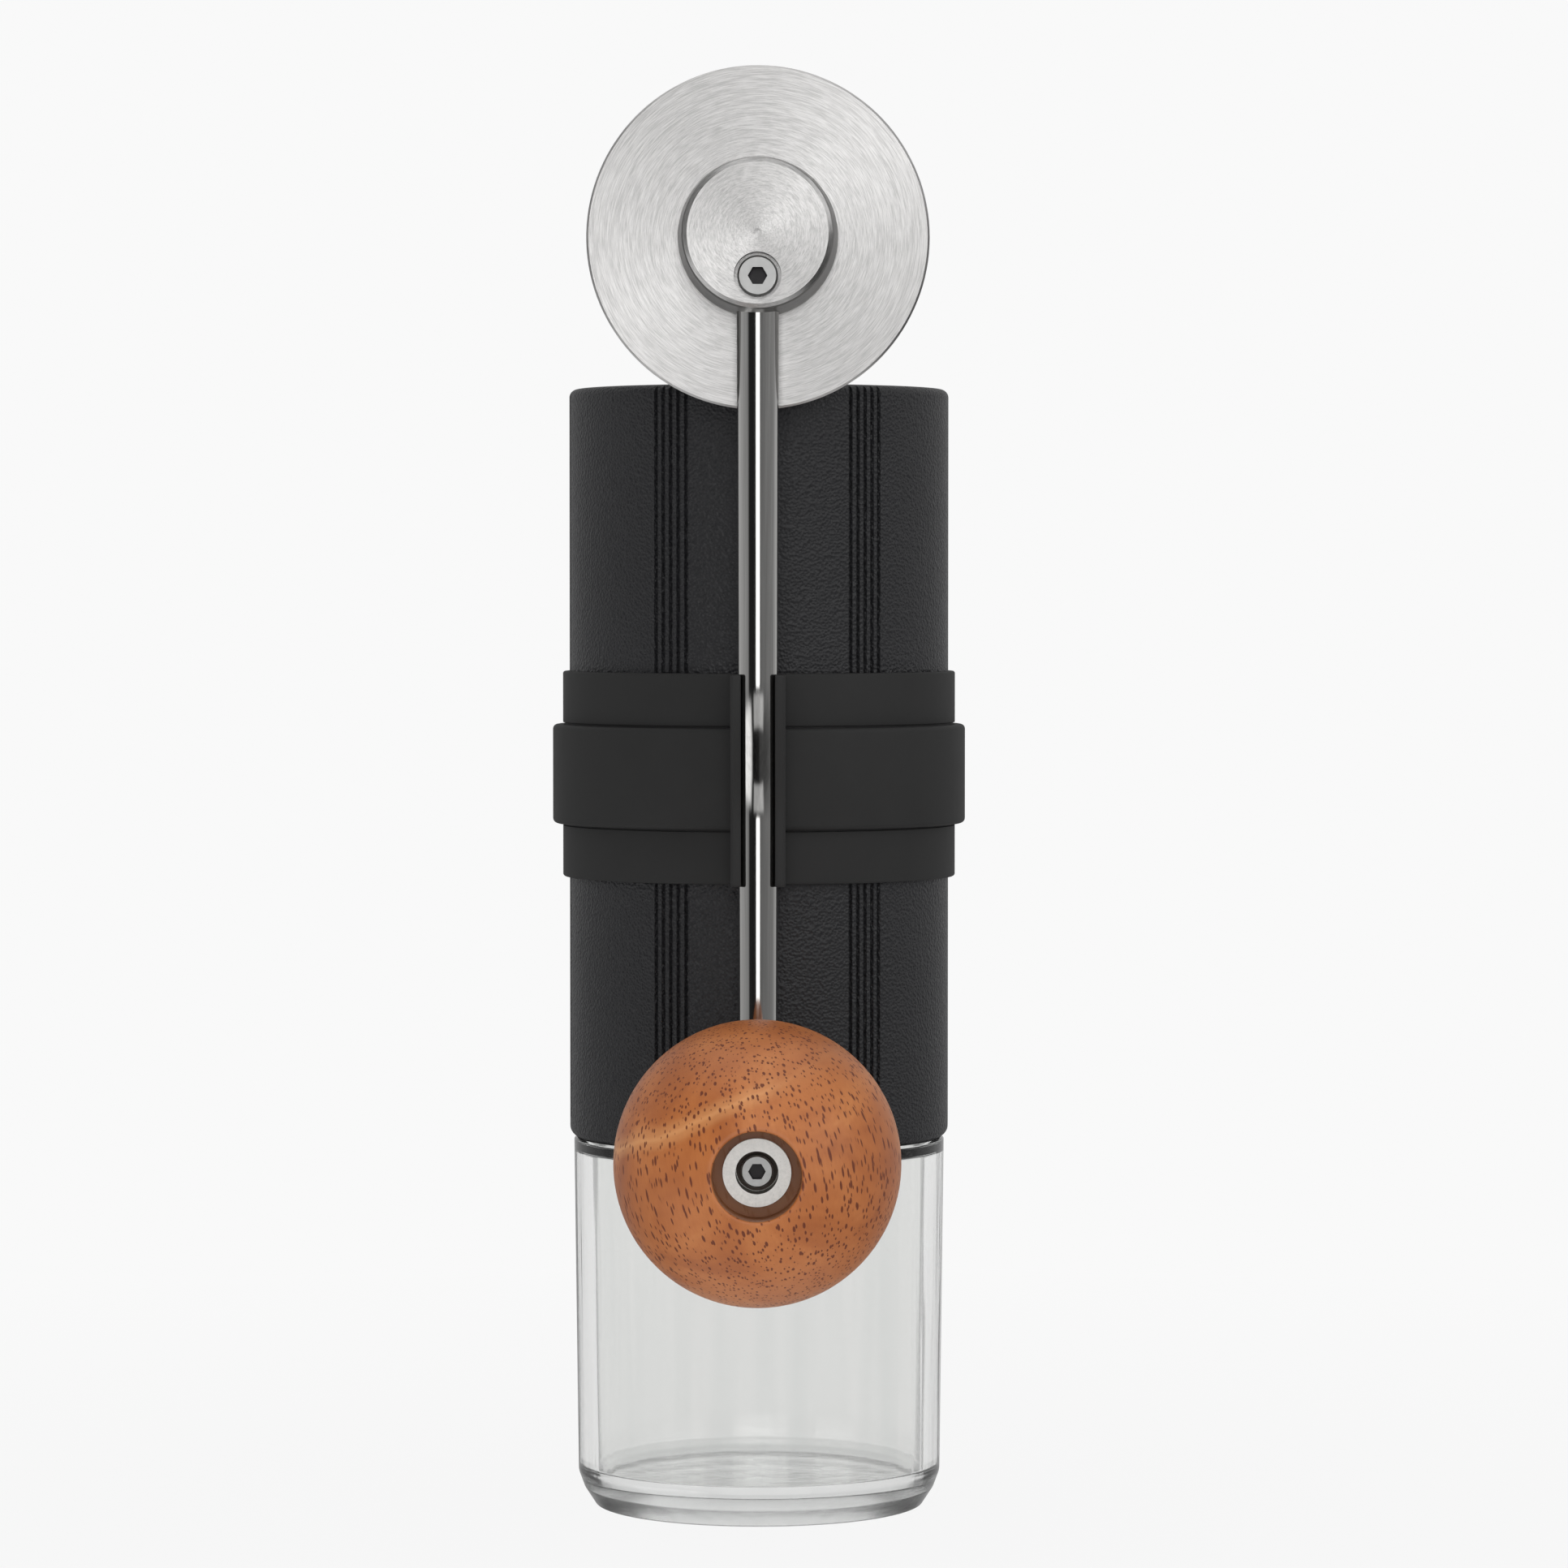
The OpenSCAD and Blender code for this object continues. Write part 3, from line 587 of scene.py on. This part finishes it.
def grip_band():
    """Thin sleeve with a raised belt, a narrow crease on each side of it."""
    inner, ring_r = BODY_R + 0.03, BODY_R + 1
    belt, crease = 14.6, 0.28
    crease_r = ring_r - 0.3
    low, high = BAND_LOW, BAND_HIGH
    belt_low, belt_high = (low + high - belt) / 2, (low + high + belt) / 2
    outline = rounded([
        (inner, low, 0.1), (ring_r, low, 0.35), (ring_r, belt_low - crease, 0.08),
        (crease_r, belt_low - crease, 0.06), (crease_r, belt_low, 0.06), (BELT_R, belt_low, 0.7),
        (BELT_R, belt_high, 0.7), (crease_r, belt_high, 0.06), (crease_r, belt_high + crease, 0.06),
        (ring_r, belt_high + crease, 0.08), (ring_r, high, 0.35), (inner, high, 0.1)], 5)
    placed(spun("band_ring", outline, AXIS, UP, 320), "grinder_body", "silicone", "grip_band")


def clip_section(inset):
    """Half of the clip seen along the arm, from root to lip: (x, distance before the arm's middle)."""
    out, gap = 3.92 - inset, 2.42 + inset
    tip = 2.5 - inset
    bore = BAR_R + 0.14 + inset
    root = -12.0
    outer_r, inner_r = 0.5, 0.2
    points = [(out, root), (out, tip - outer_r)]
    for t in np.linspace(0.2, math.pi / 2, 5):
        points.append((out - outer_r + outer_r * math.cos(t), tip - outer_r + outer_r * math.sin(t)))
    for t in np.linspace(0.1, math.pi / 2, 4):
        points.append((gap + inner_r - inner_r * math.sin(t), tip - inner_r + inner_r * math.cos(t)))
    for t in np.linspace(math.acos(min(1, gap / bore)), -math.pi / 2 + 0.02, 18):
        points.append((bore * math.cos(t), bore * math.sin(t)))
    return points


def arm_at(z):
    """Where the arm's middle is at a height: (y, slope)."""
    rows = arm_line()
    for (y0, z0, s0, _), (y1, z1, s1, _) in zip(rows, rows[1:]):
        if z0 >= z >= z1:
            t = (z0 - z) / (z0 - z1) if z0 > z1 else 0
            return y0 + (y1 - y0) * t, s0 + (s1 - s0) * t
    return rows[-1][0], 0.0


def clip():
    """Two soft lips that wrap the arm, over the band's whole height."""
    root = -(BODY_R + 0.6)
    edge = 0.3
    top = [(BAND_HIGH - edge + edge * math.sin(t), edge * (1 - math.cos(t)))
           for t in np.linspace(math.pi / 2, 0, 5)]
    bottom = [(BAND_LOW + BAND_HIGH - z, inset) for z, inset in reversed(top)]
    between = [(z, 0.0) for z in np.linspace(BAND_HIGH - edge, BAND_LOW + edge, 42)[1:-1]]
    rings = []
    for z, inset in top + between + bottom:
        y, slope = arm_at(z)
        right = [(x, min(root, y - d / math.cos(slope))) for x, d in clip_section(inset)]
        whole = right + [(-x, q) for x, q in reversed(right)]
        rings.append([Vector((x, q, z)) for x, q in whole])
    placed(lofted("band_clip", rings, 50), "grinder_body", "silicone", "grip_band")


# ---- Cup, knob, lid ----


def cup():
    """Thick-walled jar: chamfered foot, slightly flared wall, and a neck with the seal's groove."""
    high = box("catch_cup")[1]
    base_r, top_r, neck_r = 26.8, high.x, 24.85
    foot_r, wall, floor = 24.2, 2.6, 4.4
    inner_r, neck_bore = base_r - wall, 23.1
    shoulder, neck_top = BODY_BOTTOM, high.z
    groove_r, groove_low, groove_high = 23.88, shoulder + 2.42, shoulder + 3.58
    outline = rounded([
        (0, 0, 0), (foot_r, 0, 0.5), (base_r - 0.9, 2.6, 1.6), (base_r, 5, 3.0),
        (top_r, shoulder - 0.35, 0.3), (top_r - 0.4, shoulder, 0.15), (neck_r, shoulder, 0.15),
        (neck_r, groove_low, 0.1), (groove_r, groove_low, 0.2), (groove_r, groove_high, 0.2),
        (neck_r, groove_high, 0.1), (neck_r, neck_top, 0.4), (neck_bore, neck_top, 0.3),
        (neck_bore, shoulder + 1, 1.0), (top_r - 2.7, shoulder - 2.2, 1.0), (inner_r, 6, 0.5),
        (inner_r - 1.6, floor, 1.0), (0, floor, 0)], 8)
    placed(spun("cup_shell", outline, AXIS, UP, 320, 30), "cup", "clear_plastic", "catch_cup")


def knob():
    """Turned ball with a flat back and a counterbored front.

    Heights run forward from a start a little behind the lid plate's middle."""
    behind, flat, mid, floor = 1.35, 6.4, 25.2, 37.5
    hole, bore = 6.15, 4.71
    edge, edge_from, steps = 0.35, 0.35, 96
    start = math.acos((flat - mid) / KNOB_R)
    stop = math.asin((hole + edge) / KNOB_R)
    points = [(bore, flat)]
    for i in range(steps + 1):
        t = start + (stop - start) * i / steps
        points.append((KNOB_R * math.sin(t), mid + KNOB_R * math.cos(t)))
    lip = mid + KNOB_R * math.cos(stop)
    for t in np.linspace(edge_from, math.pi / 2, 6):
        points.append((hole + edge - edge * math.sin(t), lip - edge + edge * math.cos(t)))
    points += [(hole, floor), (bore, floor)]
    piece = spun("knob_wood_ball", points, Vector((0, LID.y + behind, KNOB.z)), OUT, 256, 30)
    placed(piece, "knob", "knob_wood", "knob_ball")


def shade_well(name, node, flats, depth):
    """Dark lining in a screw's hexagon: painted shade, a dark sheet standing in for the shade down in
    the socket, which stays dark however the light falls.
    """
    wall, clear = 0.05, 0.01
    inner, outer = flats / 2 - wall, flats / 2 - clear
    centre = middle(node)
    rim = box(node)[0].y + 0.04
    bottom = box(node)[0].y + depth
    rings = []
    for half, y in ((outer, bottom), (outer, rim), (inner, rim), (inner, bottom - wall)):
        corner = half / math.cos(math.pi / 6)
        rings.append([Vector((centre.x + corner * math.cos(math.pi * k / 3), y,
                              centre.z + corner * math.sin(math.pi * k / 3))) for k in range(6)])
    placed(lofted(name, rings, 20), "crank", "black_screw")


def boss_centre():
    """Shallow polished centre mark in the middle of the boss."""
    outline = [(0, -0.09), (0.5, -0.06), (0.88, -0.015), (0.96, -0.03), (0.96, -0.5), (0, -0.5)]
    face = Vector((LID.x, box("crank_boss")[0].y, LID.z))
    placed(spun("boss_centre", outline, face, OUT, 48), "crank", "turned_steel")


crank_arm()
boss_centre()
grip_band()
# painted shade: dark linings in the two screw sockets
shade_well("arm_screw_shade_well", "arm_screw", 2.4, 1.75)
shade_well("knob_screw_shade_well", "knob_screw", 2.1, 1.45)
clip()
cup()
knob()


# ---- Stage, light and camera ----

WHITE = 0.947


def world():
    """White to the eye. What the gloss reflects is a dark room with a tall strip light behind the
    camera, a low box under it, grey side walls and paler ones far round, and light panels to the left
    and right, above and below. Angles are in degrees, turned from behind the camera."""
    w = bpy.data.worlds.new("studio")
    bpy.context.scene.world = w
    w.use_nodes = True
    w.node_tree.nodes.clear()
    n = Nodes(w.node_tree)
    split = n.add("ShaderNodeSeparateXYZ")
    n.wire(split, 0, n.add("ShaderNodeTexCoord").outputs["Generated"])
    x, y, z = split.outputs
    turn = n.math("MULTIPLY", n.math("ARCTAN2", x, n.math("MULTIPLY", y, -1)), 180 / math.pi)
    rise = n.math("MULTIPLY", n.math("ARCSINE", z), 180 / math.pi)
    sides = n.ramp(n.math("MULTIPLY_ADD", turn, 1 / 360, 0.5), [
        (degrees / 360 + 0.5, level) for degrees, level in (
            (-180, 0.5), (-120, 0.5), (-95, 0.42), (-58, 0.3), (-50, 0.02), (-19, 0.015), (-10, 0.03),
            (7, 0.05), (11, 0.17), (95, 0.26), (118, 0.5), (180, 0.6))])
    height = n.ramp(n.math("MULTIPLY_ADD", rise, 1 / 180, 0.5), [
        (degrees / 180 + 0.5, level) for degrees, level in (
            (-90, 0.25), (-30, 0.35), (-12, 0.8), (0, 1.0), (35, 1.0), (60, 0.6), (90, 0.5))])
    room = n.mix(1.0, sides, height, "MULTIPLY")
    strip = n.math("MULTIPLY", n.window(turn, 0, 8, 4), n.window(rise, 24.4, 29.6, 1.5))
    low = n.math("MULTIPLY", n.window(turn, 4, 24, 10), n.window(rise, -20, 8, 4))
    left = n.math("MULTIPLY", n.window(turn, -64, 16, 16), n.window(rise, -30, 10, 12))
    right = n.math("MULTIPLY", n.window(turn, 60, 18, 16), n.window(rise, 26, 12, 12))
    over = n.window(rise, 75, 14, 14)
    under = n.window(rise, -78, 24, 14)
    total = room
    panels = ((strip, 2.4), (low, 0.5), (left, 1.1), (right, 1.3), (over, 0.9), (under, 0.6))
    for mask, level in panels:
        total = n.mix(1.0, total, n.math("MULTIPLY", mask, level), "ADD")
    lit = n.add("ShaderNodeBackground")
    n.wire(lit, "Color", total)
    seen = n.add("ShaderNodeBackground")
    n.wire(seen, "Color", (WHITE, WHITE, WHITE, 1))
    # a ray that went through the cup sees the white only near +Y: within 28 degrees, gone by 40
    path = n.add("ShaderNodeLightPath")
    behind = n.window(n.math("SUBTRACT", 1, y), 0, 0.117, 0.117)
    backdrop = n.math("MULTIPLY", path.outputs["Is Transmission Ray"], behind)
    join = n.add("ShaderNodeMixShader")
    n.wire(join, 0, n.math("MAXIMUM", path.outputs["Is Camera Ray"], backdrop))
    n.wire(join, 1, lit.outputs[0])
    n.wire(join, 2, seen.outputs[0])
    n.wire(n.add("ShaderNodeOutputWorld"), "Surface", join.outputs[0])


def stage_floor():
    """Pale floor that glows like the backdrop and takes a faint shadow near the object."""
    size, drop = 4.0, -0.00005
    corners = [(x * size, y * size, drop) for x, y in ((-1, -1), (1, -1), (1, 1), (-1, 1))]
    mesh = bpy.data.meshes.new("floor")
    mesh.from_pydata(corners, [], [(0, 1, 2, 3)])
    floor = bpy.data.objects.new("floor", mesh)
    bpy.context.scene.collection.objects.link(floor)
    mat = bpy.data.materials.new("pale_floor")
    mat.use_nodes = True
    mat.node_tree.nodes.clear()
    n = Nodes(mat.node_tree)
    matte = n.add("ShaderNodeBsdfDiffuse")
    n.wire(matte, "Color", (0.3, 0.3, 0.3, 1))
    glow = n.add("ShaderNodeEmission")
    n.wire(glow, "Color", (WHITE, WHITE, WHITE, 1))
    reach = n.vector("LENGTH", n.add("ShaderNodeTexCoord").outputs["Object"])
    near = n.add("ShaderNodeMixShader")
    n.wire(near, 0, n.remap(reach, 0.03, 0.3, 0.965, 1.0))
    n.wire(near, 1, matte.outputs[0])
    n.wire(near, 2, glow.outputs[0])
    n.wire(n.add("ShaderNodeOutputMaterial"), "Surface", near.outputs[0])
    mesh.materials.append(mat)
    floor.visible_glossy = False


def softbox(name, place, aim, size, watts):
    """Soft lamp that lights the object and isn't seen in it."""
    light = bpy.data.lights.new(name, "AREA")
    light.shape = "RECTANGLE"
    light.size, light.size_y = size
    light.energy = watts
    lamp = bpy.data.objects.new(name, light)
    bpy.context.scene.collection.objects.link(lamp)
    lamp.location = place
    lamp.rotation_euler = (Vector(aim) - Vector(place)).to_track_quat("-Z", "Y").to_euler()
    lamp.visible_camera = False
    lamp.visible_glossy = False


def lights():
    aim = (0, 0, 0.1)
    softbox("front", (0.0, -1.3, 0.22), aim, (0.9, 0.4), 3.6)
    softbox("bounce", (0.0, -0.32, 0.004), (0.0, -0.3, 0.1), (0.4, 0.3), 0.8)
    softbox("left", (-0.9, -0.6, 0.2), aim, (0.6, 0.4), 2.6)
    softbox("right", (0.9, -0.6, 0.2), aim, (0.6, 0.4), 1.2)
    softbox("top", (0.0, -0.1, 1.0), aim, (0.7, 0.7), 1.5)


def camera():
    """Level eye just below the lid, tipped down a little, far enough away for a long lens."""
    data = bpy.data.cameras.new("view")
    data.sensor_width = 36
    data.lens = 134.9
    eye = bpy.data.objects.new("view", data)
    bpy.context.scene.collection.objects.link(eye)
    eye.location = (0.0037, -0.870, 0.1358)
    eye.rotation_euler = (math.radians(90 - 1.915), 0, 0)
    bpy.context.scene.camera = eye


world()
stage_floor()
lights()
camera()
bpy.context.scene.view_settings.view_transform = "Standard"
